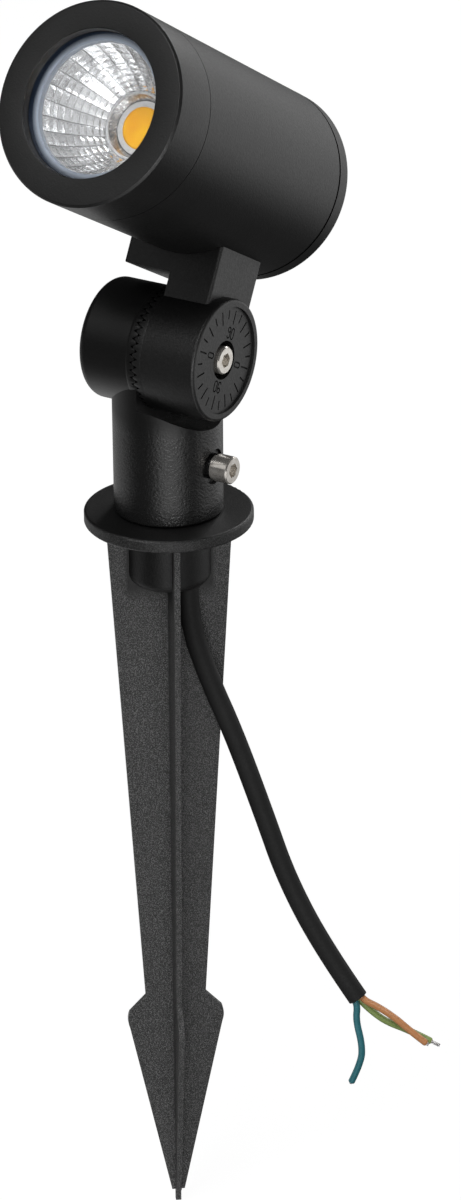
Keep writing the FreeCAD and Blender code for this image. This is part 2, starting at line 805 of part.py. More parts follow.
def led_holder():
    pocket = led_board_width / math.sqrt(2) + seat_gap
    body = lamp_spin([(holder_opening_radius, holder_front), (holder_radius, holder_front),
                      (holder_radius, floor_front), (pocket, floor_front), (pocket, led_top - seat_gap),
                      (led_dam_radius + holder_throat_gap, led_top - seat_gap)])
    holes = [rod("Y", holder_screw_radius + seat_gap, -far, far, x, z) for x, z in holder_screw_spots()]
    holes += [rod("Y", holder_screw_head_radius + seat_gap, -far, holder_screw_seat, x, z)
              for x, z in holder_screw_spots()]
    return body.cut(holes)


def holder_screws():
    screws = []
    for x, z in holder_screw_spots():
        shank = rod("Y", holder_screw_radius, holder_screw_seat, floor_front + led_floor_thickness / 2, x, z)
        head = rod("Y", holder_screw_head_radius, holder_screw_seat - holder_screw_head_height,
                   holder_screw_seat, x, z)
        screws.append(fuse(shank, head))
    return Part.makeCompound(screws)


def head_body():
    front_radius = front_spigot_radius
    shell = lamp_spin([(front_bore, spigot_front), (front_radius, spigot_front), (front_radius, body_front),
                       (head_radius, body_front), (head_radius, body_rear), (rear_bore, body_rear),
                       (rear_bore, floor_rear), (0, floor_rear), (0, floor_front), (front_bore, floor_front)])
    pad_margin = bracket_screw_head_radius + screw_pad_margin
    pad_front, pad_rear = bracket_screw_places()
    pad = block(head_axis_x - pad_margin, head_axis_x + pad_margin, pad_front - pad_margin,
                pad_rear + pad_margin, head_axis_height - rear_bore - overrun, pad_top)
    pad = pad.common(lamp_rod(head_radius - overrun, -far, far))
    shell = fuse(shell, pad)
    cuts = [ring_groove(front_ring_place, front_radius)]
    cuts += [rod("Z", bracket_screw_radius + seat_gap, 0, head_axis_height, head_axis_x, y)
             for y in bracket_screw_places()]
    cuts.append(rod("Z", wire_way_radius, 0, head_axis_height, bracket_wire_x, 0))
    cuts += [rod("Y", lead_radius + wire_clearance, floor_front - overrun, floor_rear + overrun,
                 x, lead_height) for x in lead_places()]
    screw_end = floor_front + led_floor_thickness / 2
    cuts += [rod("Y", holder_screw_radius + seat_gap, floor_front - overrun, screw_end, x, z)
             for x, z in holder_screw_spots()]
    return shell.cut(cuts).removeSplitter()


front_ring_place = (spigot_front + body_front) / 2
rear_ring_place = body_rear - rear_spigot_length / 2
lead_height = head_axis_height - holder_radius - lead_drop


def lead_places():
    return [head_axis_x + side * lead_spacing / 2 for side in (-1, 1)]


def led_leads():
    """The two insulated wires from the driver through the floor to the light board."""
    leads = []
    for x in lead_places():
        leads.append(rod("Y", lead_radius, floor_front - lead_front_reach,
                         driver_front + lead_rear_reach, x, lead_height))
    return Part.makeCompound(leads)


driver_front = floor_rear + driver_clearance
driver_level = head_axis_height + driver_height_above_axis


def driver_board():
    drop = driver_thickness - driver_height_above_axis
    half = math.sqrt(rear_bore ** 2 - drop ** 2) - 2 * seat_gap
    return block(head_axis_x - half, head_axis_x + half, driver_front, driver_front + driver_length,
                 driver_level - driver_thickness, driver_level)


def driver_parts():
    """Transformer, two capacitors and a coil on the board."""
    top = driver_level
    x, front, rear = head_axis_x, driver_front, driver_front + driver_length
    middle = (front + rear) / 2
    side = transformer_width / 2 + capacitor_radius - driver_part_gap
    transformer = block(x - transformer_width / 2, x + transformer_width / 2, middle - transformer_length / 2,
                        middle + transformer_length / 2, top, top + transformer_height)
    inlet = rod("Z", capacitor_radius, top, top + capacitor_height, x - side,
                front + capacitor_radius + driver_part_gap)
    outlet = rod("Z", small_capacitor_radius, top, top + capacitor_height, x + side,
                 rear - small_capacitor_radius - driver_part_gap)
    coil = tube("Z", coil_radius, coil_radius / 2, top, top + coil_height, x + side,
                front + coil_radius + driver_part_gap)
    return Part.makeCompound([transformer, inlet, outlet, coil])


def rear_cap():
    plate = lamp_rod(head_radius, head_rear - rear_cap_thickness, head_rear)
    rim = edges_on(plate, lambda p: near(p.y, head_rear))
    plate = plate.makeFillet(rear_cap_edge_radius, rim)
    spigot = lamp_tube(rear_bore - seat_gap, rear_bore - body_wall_rear, body_rear - rear_spigot_length,
                       head_rear - rear_cap_thickness + overrun)
    return fuse(plate, spigot).cut(ring_groove(rear_ring_place, rear_bore - seat_gap))


def bracket_screws():
    screws = []
    for y in bracket_screw_places():
        shank = rod("Z", bracket_screw_radius, bracket_screw_tip(), pad_top, head_axis_x, y)
        head = rod("Z", bracket_screw_head_radius, pad_top, pad_top + bracket_screw_head_height,
                   head_axis_x, y)
        screws.append(fuse(shank, head))
    return Part.makeCompound(screws)


def head_cable():
    """The cable from the knuckle's cavity up through the bracket to the driver."""
    start = knuckle_boss_radius + wire_way_margin + cable_end_gap
    return rod("Z", wire_way_radius - wire_clearance, start, driver_level - driver_thickness,
               bracket_wire_x, 0)


# ---- Nodes ----------------------------------------------------------------------------
ROW_PARTS = {
    "ground_spike": ground_spike,
    "cable_grommet": cable_grommet,
    "inner_cable": inner_cable,
    "wire_ends": wire_ends,
    "base_post": base_post,
    "clamp_screw": clamp_screw,
    "clamp_spring_washer": clamp_spring_washer,
    "post_cable": post_cable,
    "knuckle_bolt": knuckle_bolt,
    "knuckle_washer": knuckle_washer,
    "knuckle_nut": knuckle_nut,
    "knuckle_seal": knuckle_seal,
}
HEAD_PARTS = {
    "head_bracket": head_bracket,
    "bracket_screws": bracket_screws,
    "head_cable": head_cable,
    "front_bezel": front_bezel,
    "lens_glass": lens_glass,
    "lens_gasket": lens_gasket,
    "reflector": reflector,
    "led_board": led_board,
    "led_disc": led_disc,
    "thermal_pad": thermal_pad,
    "led_holder": led_holder,
    "holder_screws": holder_screws,
    "head_body": head_body,
    "led_leads": led_leads,
    "driver_board": driver_board,
    "driver_parts": driver_parts,
    "rear_cap": rear_cap,
}


def build():
    nodes = {name: make() for name, make in ROW_PARTS.items()}
    nodes.update({name: to_row(make()) for name, make in HEAD_PARTS.items()})
    nodes["front_ring"] = to_row(sealing_ring(front_ring_place, front_spigot_radius + seat_gap))
    nodes["rear_ring"] = to_row(sealing_ring(rear_ring_place, rear_bore))
    nodes["power_cable"] = cord(CABLE_ROUTE, cable_radius, "power_cable")
    for name, points in CORE_ROUTES.items():
        nodes[name] = cord(points, core_radius, name)
    return nodes


os.makedirs("parts", exist_ok=True)
for name, shape in build().items():
    solids = shape.Solids
    print(name, "solids", len(solids), "valid", shape.isValid(), "volume", round(shape.Volume, 1))
    result = solids[0] if len(solids) == 1 else Part.makeCompound(solids)
    result.exportStep("parts/" + name + ".step")
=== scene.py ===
"""Looks of the garden spike spotlight: camera, cable, finishes, lamp optics, light and floor."""

import math
import random

import bmesh
import bpy
from mathutils import Matrix, Vector

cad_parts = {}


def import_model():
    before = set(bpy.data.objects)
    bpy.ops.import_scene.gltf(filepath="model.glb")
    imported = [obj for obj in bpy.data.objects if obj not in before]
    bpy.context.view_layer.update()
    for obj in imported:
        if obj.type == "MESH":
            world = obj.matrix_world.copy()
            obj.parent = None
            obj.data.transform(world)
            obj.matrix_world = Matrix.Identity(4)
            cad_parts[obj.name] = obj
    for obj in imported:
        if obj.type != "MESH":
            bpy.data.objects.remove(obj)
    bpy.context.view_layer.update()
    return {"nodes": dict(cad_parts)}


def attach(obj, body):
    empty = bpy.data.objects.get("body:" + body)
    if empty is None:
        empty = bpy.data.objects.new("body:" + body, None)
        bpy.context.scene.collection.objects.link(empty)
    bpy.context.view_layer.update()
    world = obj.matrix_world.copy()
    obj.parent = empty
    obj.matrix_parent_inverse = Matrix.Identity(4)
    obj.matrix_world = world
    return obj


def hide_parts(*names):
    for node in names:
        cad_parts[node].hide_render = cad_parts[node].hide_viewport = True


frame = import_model()
NODES = frame["nodes"]
MM = 0.001

# ---- The frame's places ---------------------------------------------------------------
# HEAD is the knuckle's frame as it tilts at rest; LAMP has its origin and Y on the lamp's axis.
NOSE_UP = math.radians(28.4)
KNUCKLE_HEIGHT = 56.0 * MM
LAMP_X = 1.2 * MM
LAMP_HEIGHT = 57.0 * MM
HEAD = Matrix.Translation((0, 0, KNUCKLE_HEIGHT)) @ Matrix.Rotation(-NOSE_UP, 4, "X")
LAMP = HEAD @ Matrix.Translation((LAMP_X, 0, LAMP_HEIGHT))
HEAD_RADIUS = 29.8
DIAL_FLOOR = 20.2 * MM
DIAL_RADIUS = 16.0 * MM
SHARP = math.radians(35)


def link(obj):
    bpy.context.scene.collection.objects.link(obj)
    return obj


# ---- Camera ---------------------------------------------------------------------------
CAMERA_PLACE = (0.549433, -0.846686, 0.440613)
CAMERA_FORWARD = (-0.47968847, 0.77001563, -0.42068384)
CAMERA_UP = (-0.21722756, 0.36030271, 0.90719025)


def camera():
    """The camera that was fitted to measurements of the photograph."""
    data = bpy.data.cameras.new("camera")
    data.sensor_fit = "AUTO"
    data.sensor_width = 36.0
    data.lens = 108.0
    data.clip_start, data.clip_end = 0.05, 50.0
    cam = link(bpy.data.objects.new("camera", data))
    forward = Vector(CAMERA_FORWARD).normalized()
    up = Vector(CAMERA_UP).normalized()
    turn = Matrix((forward.cross(up), up, -forward)).transposed().to_4x4()
    cam.matrix_world = Matrix.Translation(CAMERA_PLACE) @ turn
    bpy.context.scene.camera = cam


# ---- Cable routes, in millimetres -----------------------------------------------------
# The sheath's route is the solids'. The cores' points are moved to suit the photograph.
CABLE_RADIUS = 3.2 * MM
CORE_RADIUS = 1.1 * MM
CUP_DEPTH = 20.0
EXIT_OFFSET = 7.2
EXIT_ANGLE = math.radians(-5.0)
PLANE_ANGLE = math.radians(6.0)
CORE_PITCH = 1.45
CORE_STRAIGHT = 1.6


def hang(points):
    """Points given as (distance from the exit, height, sideways) in the cable's plane."""
    out = Vector((math.cos(PLANE_ANGLE), math.sin(PLANE_ANGLE), 0))
    side = Vector((-math.sin(PLANE_ANGLE), math.cos(PLANE_ANGLE), 0))
    start = Vector((EXIT_OFFSET * math.cos(EXIT_ANGLE), EXIT_OFFSET * math.sin(EXIT_ANGLE), 0))
    return [(start + out * s + side * w + Vector((0, 0, z))) for s, z, w in points]


CABLE_ROUTE = hang([(0.0, -CUP_DEPTH, 0.0), (0.0, -32.0, 0.0), (6.0, -50.0, 0.6),
                    (14.6, -68.5, 1.2), (25.2, -95.0, 1.0), (33.0, -115.0, 0.4),
                    (45.5, -136.3, 0.0), (58.3, -152.4, 0.0)])


def core_route(position, points):
    """A core's route from its place in the sheath's end; position is its angle there."""
    run = (CABLE_ROUTE[-1] - CABLE_ROUTE[-2]).normalized()
    side = run.cross(Vector((0, 0, 1))).normalized()
    over = side.cross(run).normalized()
    turn = math.radians(position)
    start = CABLE_ROUTE[-1] + (side * math.cos(turn) + over * math.sin(turn)) * CORE_PITCH
    return [start, start + run * CORE_STRAIGHT, *hang(points)]


CORE_ROUTES = {
    "core_blue": core_route(330, [(58.0, -160.2, -0.8), (59.8, -169.3, 0.2), (59.2, -176.6, 1.2),
                                  (55.4, -185.6, 2.0)]),
    "core_green_yellow": core_route(210, [(63.0, -157.2, 1.3), (67.8, -159.6, 1.4),
                                          (75.4, -160.6, 1.4), (83.2, -162.6, 1.2)]),
    "core_brown": core_route(90, [(65.6, -153.9, -0.1), (71.8, -156.0, -0.9),
                                  (77.4, -159.4, -1.2), (82.6, -162.2, -1.2)]),
}


def route_curve(name, points, radius):
    """A smooth round cord with the route's points, in millimetres, as its control points."""
    data = bpy.data.curves.new(name, "CURVE")
    data.dimensions = "3D"
    data.resolution_u = 10
    data.bevel_depth = radius
    data.bevel_resolution = 6
    data.use_fill_caps = True
    spline = data.splines.new("NURBS")
    spline.points.add(len(points) - 1)
    for control, point in zip(spline.points, points):
        control.co = (*(point * MM), 1.0)
    spline.order_u = 3
    spline.use_endpoint_u = True
    return link(bpy.data.objects.new(name, data))


def centreline(name, points):
    """The points that the route's smooth curve passes."""
    curve = route_curve(name, points, 0.0)
    curve.data.use_fill_caps = False
    curve.data.resolution_u = 16
    bpy.context.view_layer.update()
    mesh = bpy.data.meshes.new_from_object(curve)
    line = [vertex.co.copy() for vertex in mesh.vertices]
    bpy.data.objects.remove(curve)
    bpy.data.meshes.remove(mesh)
    return line


def line_length(line):
    return sum((b - a).length for a, b in zip(line, line[1:]))


# ---- Material helpers -----------------------------------------------------------------
class Nodes:
    """Makes and links the nodes of one material."""

    def __init__(self, name):
        self.material = bpy.data.materials.new(name)
        self.material.use_nodes = True
        self.tree = self.material.node_tree
        self.shader = self.tree.nodes["Principled BSDF"]
        self.output = self.tree.nodes["Material Output"]

    def new(self, kind, inputs=None, **settings):
        node = self.tree.nodes.new(kind)
        for key, value in settings.items():
            setattr(node, key, value)
        for key, value in (inputs or {}).items():
            self.put(node.inputs[key], value)
        return node

    def put(self, socket, value):
        if isinstance(value, bpy.types.NodeSocket):
            self.tree.links.new(value, socket)
        else:
            socket.default_value = value

    def set(self, **values):
        for key, value in values.items():
            self.put(self.shader.inputs[key.replace("_", " ")], value)

    def coords(self, turn=0.0, scale=(1, 1, 1)):
        source = self.new("ShaderNodeTexCoord")
        mapping = self.new("ShaderNodeMapping", {"Vector": source.outputs["Object"]})
        mapping.inputs["Rotation"].default_value = (turn, 0, 0)
        mapping.inputs["Scale"].default_value = scale
        return mapping.outputs["Vector"]

    def noise(self, vector, scale, detail=2.0, roughness=0.5):
        node = self.new("ShaderNodeTexNoise", {"Vector": vector, "Scale": scale, "Detail": detail,
                                               "Roughness": roughness, "Distortion": 0.0})
        return node.outputs["Fac"]

    def pebbles(self, vector, scale):
        node = self.new("ShaderNodeTexVoronoi", {"Vector": vector, "Scale": scale,
                                                 "Randomness": 1.0}, feature="SMOOTH_F1")
        return node.outputs["Distance"]

    def spread(self, value, low, high, to_low=0.0, to_high=1.0):
        node = self.new("ShaderNodeMapRange", {"Value": value, "From Min": low, "From Max": high,
                                               "To Min": to_low, "To Max": to_high})
        return node.outputs["Result"]

    def math(self, operation, first, second=0.0):
        node = self.new("ShaderNodeMath", operation=operation)
        self.put(node.inputs[0], first)
        self.put(node.inputs[1], second)
        return node.outputs[0]

    def mix(self, factor, first, second):
        node = self.new("ShaderNodeMix", data_type="RGBA")
        self.put(node.inputs[0], factor)
        self.put(node.inputs[6], first)
        self.put(node.inputs[7], second)
        return node.outputs[2]

    def bump(self, height, distance):
        node = self.new("ShaderNodeBump", {"Height": height, "Distance": distance,
                                           "Strength": 1.0})
        return node.outputs["Normal"]

    def vector(self, operation, first, second=None):
        """A vector operation's node; the caller takes its Vector or Value output."""
        node = self.new("ShaderNodeVectorMath", operation=operation)
        self.put(node.inputs[0], first)
        if second is not None:
            self.put(node.inputs[1], second)
        return node

    def split(self, vector):
        return self.new("ShaderNodeSeparateXYZ", {"Vector": vector}).outputs


def grey(value):
    return (value, value, value, 1.0)


# ---- Coated metal ---------------------------------------------------------------------
# Heights and radii between which a coat changes its grain.
STEM_TOP = (33.0 * MM, 38.0 * MM)
CUP_SIDE = (13.0 * MM, 14.5 * MM)
CUP_FOOT = (-27.0 * MM, -22.0 * MM)
FLANGE_UNDERSIDE = (-3.0 * MM, -0.5 * MM)
FLANGE_TOP = (3.2 * MM, 3.8 * MM)
FLANGE_RIM = (24.6 * MM, 25.6 * MM)
# The share of the stem's grain that is left round the knuckle.
KNUCKLE_GRAIN = 0.15


def satin_coat(name, dark, light, roughness, grain, relief, shine, engraved=None):
    """Smooth powder coat: a fine orange peel with faint cloudiness.

    engraved is the X of the dial's floor, below which the marks are dull.
    """
    n = Nodes(name)
    at = n.coords()
    clouds = n.noise(at, 55.0, 3.0)
    peel = n.noise(at, grain, 2.0, 0.55)
    fine = n.noise(at, grain * 3.1, 1.0)
    n.set(Base_Color=n.mix(n.spread(clouds, 0.35, 0.65), grey(dark), grey(light)),
          Roughness=n.spread(peel, 0.3, 0.7, roughness - 0.04, roughness + 0.05),
          Normal=n.bump(n.math("ADD", peel, n.math("MULTIPLY", fine, 0.35)), relief))
    if engraved is None:
        n.set(Specular_IOR_Level=shine)
        return n.material
    x = n.split(at)["X"]
    away = n.vector("DISTANCE", at, (engraved, 0.0, KNUCKLE_HEIGHT)).outputs["Value"]
    deep = n.math("MULTIPLY", n.spread(x, engraved - 0.06 * MM, engraved - 0.01 * MM, 1.0, 0.0),
                  n.spread(x, engraved - 0.5 * MM, engraved - 0.4 * MM))
    deep = n.math("MULTIPLY", deep,
                  n.spread(away, DIAL_RADIUS - 0.1 * MM, DIAL_RADIUS + 0.1 * MM, 1.0, 0.0))
    n.set(Specular_IOR_Level=n.spread(deep, 0.0, 1.0, shine, 0.1))
    return n.material


def leather_coat(name, dark, light, roughness, grain, relief):
    """Powder coat that is leathery on the stem and smooth round the knuckle."""
    n = Nodes(name)
    at = n.coords()
    warped = n.noise(at, grain * 0.5, 2.0)
    pebbles = n.pebbles(at, grain)
    fine = n.noise(at, grain * 2.4, 2.0)
    height = n.math("ADD", n.math("MULTIPLY", pebbles, -0.7), n.math("MULTIPLY", fine, 0.6))
    height = n.math("ADD", height, n.math("MULTIPLY", warped, 0.6))
    stem = n.spread(n.split(at)["Z"], *STEM_TOP, 1.0, KNUCKLE_GRAIN)
    n.set(Base_Color=n.mix(n.spread(fine, 0.35, 0.7), grey(dark), grey(light)),
          Roughness=n.math("ADD", n.spread(fine, 0.3, 0.7, roughness - 0.04, roughness + 0.04),
                           n.spread(stem, KNUCKLE_GRAIN, 1.0, 0.12, 0.0)),
          Normal=n.bump(n.math("MULTIPLY", height, stem), relief),
          Specular_IOR_Level=n.spread(stem, KNUCKLE_GRAIN, 1.0, 0.4, 0.66))
    return n.material


def sand_coat(name, dark, light, roughness, grain, relief):
    """Sandy powder coat: coarse with painted glints on the ribs, finer on the cup and flange."""
    n = Nodes(name)
    at = n.coords()
    split = n.split(at)
    height = split["Z"]
    reach = n.math("SQRT", n.math("ADD", n.math("POWER", split["X"], 2.0),
                                  n.math("POWER", split["Y"], 2.0)))
    cup = n.math("MULTIPLY", n.spread(reach, *CUP_SIDE, 1.0, 0.0), n.spread(height, *CUP_FOOT))
    flange = n.math("MULTIPLY", n.spread(height, *FLANGE_UNDERSIDE),
                    n.math("MAXIMUM", n.spread(height, *FLANGE_TOP),
                           n.spread(reach, *FLANGE_RIM, 1.0, 0.7)))
    fine = n.math("MAXIMUM", cup, flange)
    sand = n.noise(at, grain, 2.0, 0.6)
    coarse = n.noise(at, grain * 0.28, 2.0)
    painted_glints = n.noise(at, grain * 1.1, 1.0)
    grains = n.math("ADD", sand, n.math("MULTIPLY", coarse, 0.5))
    grains = n.math("MULTIPLY", grains, n.spread(fine, 0.0, 1.0, 1.0, 0.45))
    ribs = n.mix(n.spread(sand, 0.42, 0.62), grey(dark), grey(light))
    # Painted glints: pale specks in the ribs' colour stand in for the coat's sparkle.
    ribs = n.mix(n.spread(painted_glints, 0.52, 0.60), ribs, grey(light * 4.5))
    smooth = n.mix(n.spread(sand, 0.42, 0.7), grey(dark * 0.35), grey(light * 0.35))
    n.set(Base_Color=n.mix(fine, ribs, smooth),
          Roughness=n.spread(sand, 0.3, 0.7, roughness - 0.06, roughness + 0.06),
          Normal=n.bump(grains, relief), Specular_IOR_Level=n.spread(fine, 0.0, 1.0, 0.55, 0.4))
    return n.material


# ---- Other materials ------------------------------------------------------------------
def rubber():
    n = Nodes("black_rubber")
    at = n.coords()
    grain = n.noise(at, 1400.0, 2.0)
    clouds = n.noise(at, 120.0, 2.0)
    n.set(Base_Color=n.mix(clouds, grey(0.012), grey(0.018)),
          Roughness=n.spread(grain, 0.3, 0.7, 0.62, 0.75), Normal=n.bump(grain, 0.00006),
          Specular_IOR_Level=0.25)
    return n.material


def steel(name, tone, roughness):
    """Bright warm stainless steel with faint turning marks round the X axis."""
    n = Nodes(name)
    turning = n.noise(n.coords(scale=(1.0, 0.06, 0.06)), 9000.0)
    wear = n.noise(n.coords(), 500.0, 3.0)
    n.set(Base_Color=n.mix(n.spread(wear, 0.4, 0.7), (tone, tone * 0.96, tone * 0.90, 1.0),
                           (tone * 0.8, tone * 0.75, tone * 0.69, 1.0)), Metallic=0.82,
          Roughness=n.spread(turning, 0.3, 0.7, roughness - 0.04, roughness + 0.06),
          Normal=n.bump(turning, 0.000004))
    return n.material


def mirror():
    """Vacuum-metallised plastic, with painted shade in its colour along the facets' edges."""
    n = Nodes("metallised_reflector")
    haze = n.noise(n.coords(), 260.0, 3.0)
    split = n.split(n.new("ShaderNodeUVMap", uv_map="facets").outputs["UV"])
    # Painted shade: the colour darkens along the columns' and rows' edges of the facets.
    column = n.spread(n.math("PINGPONG", split["X"], 0.5), 0.0, 0.07, 0.7, 0.0)
    row = n.spread(n.math("PINGPONG", split["Y"], 0.5), 0.0, 0.08, 0.35, 0.0)
    bright = n.mix(haze, grey(0.72), grey(0.82))
    n.set(Base_Color=n.mix(n.math("MAXIMUM", column, row), bright, grey(0.10)), Metallic=0.94,
          Roughness=n.spread(haze, 0.35, 0.7, 0.08, 0.15))
    return n.material


def polished(name, tone):
    """Turned bright metal with streaks towards the light: turning marks and painted reflections."""
    n = Nodes(name)
    streaks = n.noise(n.coords(-NOSE_UP, (1.0, 0.05, 1.0)), 900.0, 3.0, 0.6)
    # The streaks' dark and light colour is partly painted reflection, partly the turning marks.
    n.set(Base_Color=n.mix(n.spread(streaks, 0.35, 0.65), grey(tone * 0.45), grey(tone)),
          Metallic=0.85, Roughness=n.spread(streaks, 0.3, 0.7, 0.16, 0.3))
    return n.material


def clear_glass():
    """Polished glass that lets the lamps reach what is behind it."""
    n = Nodes("clear_glass")
    smudge = n.noise(n.coords(), 40.0, 3.0)
    tint = (0.98, 0.99, 1.0, 1.0)
    n.set(Base_Color=tint, Roughness=n.spread(smudge, 0.5, 0.8, 0.0, 0.02),
          Transmission_Weight=1.0, IOR=1.33)
    path = n.new("ShaderNodeLightPath")
    clear = n.new("ShaderNodeBsdfTransparent", {"Color": tint})
    mixed = n.new("ShaderNodeMixShader")
    n.put(mixed.inputs[0], path.outputs["Is Shadow Ray"])
    n.put(mixed.inputs[1], n.shader.outputs[0])
    n.put(mixed.inputs[2], clear.outputs[0])
    n.put(n.output.inputs["Surface"], mixed.outputs[0])
    return n.material


def silicone():
    n = Nodes("grey_silicone")
    grain = n.noise(n.coords(), 900.0)
    n.set(Base_Color=n.mix(grain, (0.30, 0.34, 0.38, 1.0), (0.38, 0.42, 0.47, 1.0)),
          Roughness=n.spread(grain, 0.3, 0.7, 0.35, 0.5), Normal=n.bump(grain, 0.00003))
    return n.material


SEAL_SHADE = (19.7 * MM, 21.3 * MM)


def seal():
    """The ring behind the glass: pale grey inside, deep blue where the glass's edge shades it."""
    n = Nodes("glass_seal")
    offset = n.vector("SUBTRACT", n.new("ShaderNodeTexCoord").outputs["Object"], LAMP.translation)
    across = n.vector("CROSS_PRODUCT", offset.outputs[0], HEAD.to_3x3() @ Vector((0, 1, 0)))
    reach = n.vector("LENGTH", across.outputs[0]).outputs["Value"]
    grain = n.noise(n.coords(), 900.0)
    pale = n.mix(grain, (0.21, 0.24, 0.28, 1.0), (0.25, 0.28, 0.33, 1.0))
    n.set(Base_Color=n.mix(n.spread(reach, *SEAL_SHADE), pale, (0.006, 0.012, 0.025, 1.0)),
          Roughness=n.spread(grain, 0.3, 0.7, 0.4, 0.5), Normal=n.bump(grain, 0.00002),
          Specular_IOR_Level=0.3)
    return n.material


def phosphor():
    """The light-emitting disc: silicone filled with yellow phosphor."""
    n = Nodes("yellow_phosphor")
    at = n.coords()
    grains = n.noise(at, 2600.0)
    pools = n.noise(at, 160.0)
    base = n.mix(n.spread(pools, 0.35, 0.65), (0.68, 0.29, 0.003, 1.0), (0.74, 0.38, 0.005, 1.0))
    base = n.mix(n.spread(grains, 0.45, 0.75, 0.0, 0.35), base, (0.78, 0.45, 0.012, 1.0))
    n.set(Base_Color=base, Roughness=n.spread(grains, 0.3, 0.7, 0.7, 0.85),
          Normal=n.bump(grains, 0.00003), Specular_IOR_Level=0.05)
    return n.material


def plastic(name, dark, light, roughness):
    n = Nodes(name)
    grains = n.noise(n.coords(), 1200.0)
    n.set(Base_Color=n.mix(n.spread(grains, 0.3, 0.7), dark, light),
          Roughness=n.spread(grains, 0.3, 0.7, roughness - 0.05, roughness + 0.05),
          Normal=n.bump(grains, 0.00004))
    return n.material


def painted_shadow():
    """Painted shadow: dull black for the depth of the knuckle's seam and of the rear cap's joint.
    """
    n = Nodes("seam_shadow")
    n.set(Base_Color=n.mix(n.noise(n.coords(), 900.0), grey(0.0005), grey(0.002)), Roughness=0.95,
          Specular_IOR_Level=0.0)
    return n.material


def striped(name, first, second, width):
    """Insulation with a second colour in a band along the wire, from the tube's own UVs."""
    n = Nodes(name)
    around = n.split(n.new("ShaderNodeUVMap", uv_map="around").outputs["UV"])["Y"]
    wave = n.math("SINE", n.math("MULTIPLY", around, 2 * math.pi))
    band = n.spread(wave, width - 0.12, width + 0.12)
    grains = n.noise(n.coords(), 1500.0)
    base = n.mix(band, first, second)
    base = n.mix(n.spread(grains, 0.45, 0.8, 0.0, 0.25), base, (0.02, 0.03, 0.02, 1.0))
    n.set(Base_Color=base, Roughness=n.spread(grains, 0.3, 0.7, 0.36, 0.5),
          Normal=n.bump(grains, 0.00003))
    return n.material


def tinned():
    n = Nodes("tinned_copper")
    wear = n.noise(n.coords(), 2500.0)
    n.set(Base_Color=n.mix(n.spread(wear, 0.45, 0.7), (0.55, 0.55, 0.56, 1.0),
                           (0.42, 0.34, 0.28, 1.0)),
          Metallic=1.0, Roughness=n.spread(wear, 0.3, 0.7, 0.28, 0.42))
    return n.material


def paint(material, *names):
    for name in names:
        mesh = NODES[name].data
        mesh.materials.clear()
        mesh.materials.append(material)


# ---- Mesh helpers ---------------------------------------------------------------------
def mesh_object(name, build, material, place=None, smooth=True):
    """An object from a function that fills a bmesh, with a matrix that puts it in the frame."""
    work = bmesh.new()
    build(work)
    bmesh.ops.recalc_face_normals(work, faces=work.faces)
    for face in work.faces:
        face.smooth = smooth
    mesh = bpy.data.meshes.new(name)
    work.to_mesh(mesh)
    work.free()
    if place is not None:
        mesh.transform(place)
    mesh.materials.append(material)
    return link(bpy.data.objects.new(name, mesh))


def circle(steps):
    """(cosine, sine) of evenly spaced turns."""
    turns = [2 * math.pi * k / steps for k in range(steps)]
    return [(math.cos(turn), math.sin(turn)) for turn in turns]


def band(work, near_ring, far_ring):
    """The faces between two rings of vertices."""
    faces = []
    for k in range(len(near_ring)):
        n = (k + 1) % len(near_ring)
        faces.append(work.faces.new((near_ring[k], near_ring[n], far_ring[n], far_ring[k])))
    return faces


def turned(work, profile, steps, closed=False):
    """A surface of revolution round Y from (radius, along) points, in metres."""
    rings = [[work.verts.new((radius * x, along, radius * z)) for x, z in circle(steps)]
             for radius, along in profile]
    for near_ring, far_ring in zip(rings, rings[1:] + rings[:1] if closed else rings[1:]):
        band(work, near_ring, far_ring)
    return rings


def in_metres(points):
    return [(first * MM, second * MM) for first, second in points]


TUBE_STEPS = 20
TUBE_ROUNDING = 0.35


def tube_object(name, line, radius, material):
    """A round tube along a line, with closed, slightly rounded ends and UVs (along, around)."""
    work = bmesh.new()
    layer = work.loops.layers.uv.new("around")
    tangents = []
    for k in range(len(line)):
        before, after = line[max(k - 1, 0)], line[min(k + 1, len(line) - 1)]
        tangents.append((after - before).normalized())
    side = tangents[0].orthogonal().normalized()
    stations = []
    for point, tangent in zip(line, tangents):
        side = (side - tangent * side.dot(tangent)).normalized()
        stations.append((point, tangent, side.copy(), radius))
    edge = radius * TUBE_ROUNDING
    first, last = stations[0], stations[-1]
    head = [(first[0], first[1], first[2], radius - edge)]
    tail = [(last[0], last[1], last[2], radius - edge)]
    stations[0] = (first[0] + first[1] * edge, first[1], first[2], radius)
    stations[-1] = (last[0] - last[1] * edge, last[1], last[2], radius)
    stations = head + stations + tail
    rings = []
    for point, tangent, across, reach in stations:
        over = tangent.cross(across)
        rings.append([work.verts.new(point + (across * x + over * y) * reach)
                      for x, y in circle(TUBE_STEPS)])
    along = 0.0
    for k, (near_ring, far_ring) in enumerate(zip(rings, rings[1:])):
        beyond = along + (stations[k + 1][0] - stations[k][0]).length
        for i, face in enumerate(band(work, near_ring, far_ring)):
            start, end = i / TUBE_STEPS, (i + 1) / TUBE_STEPS
            ways = ((along, start), (along, end), (beyond, end), (beyond, start))
            for loop, uv in zip(face.loops, ways):
                loop[layer].uv = uv
        along = beyond
    work.faces.new(rings[0])
    work.faces.new(list(reversed(rings[-1])))
    bmesh.ops.recalc_face_normals(work, faces=work.faces)
    for face in work.faces:
        face.smooth = len(face.verts) == 4
    mesh = bpy.data.meshes.new(name)
    work.to_mesh(mesh)
    work.free()
    mesh.materials.append(material)
    return link(bpy.data.objects.new(name, mesh))


# ---- Cable and wires ------------------------------------------------------------------
STRANDS = 7
STRAND_RADIUS = 0.2 * MM
STRAND_PITCH = 0.36 * MM
STRAND_TWIST = 150
STRAND_STEPS = 8
STRAND_OVERLAP = 0.3
STRAND_LENGTH = {"core_blue": 0.9 * MM, "core_green_yellow": 3.2 * MM, "core_brown": 0.9 * MM}


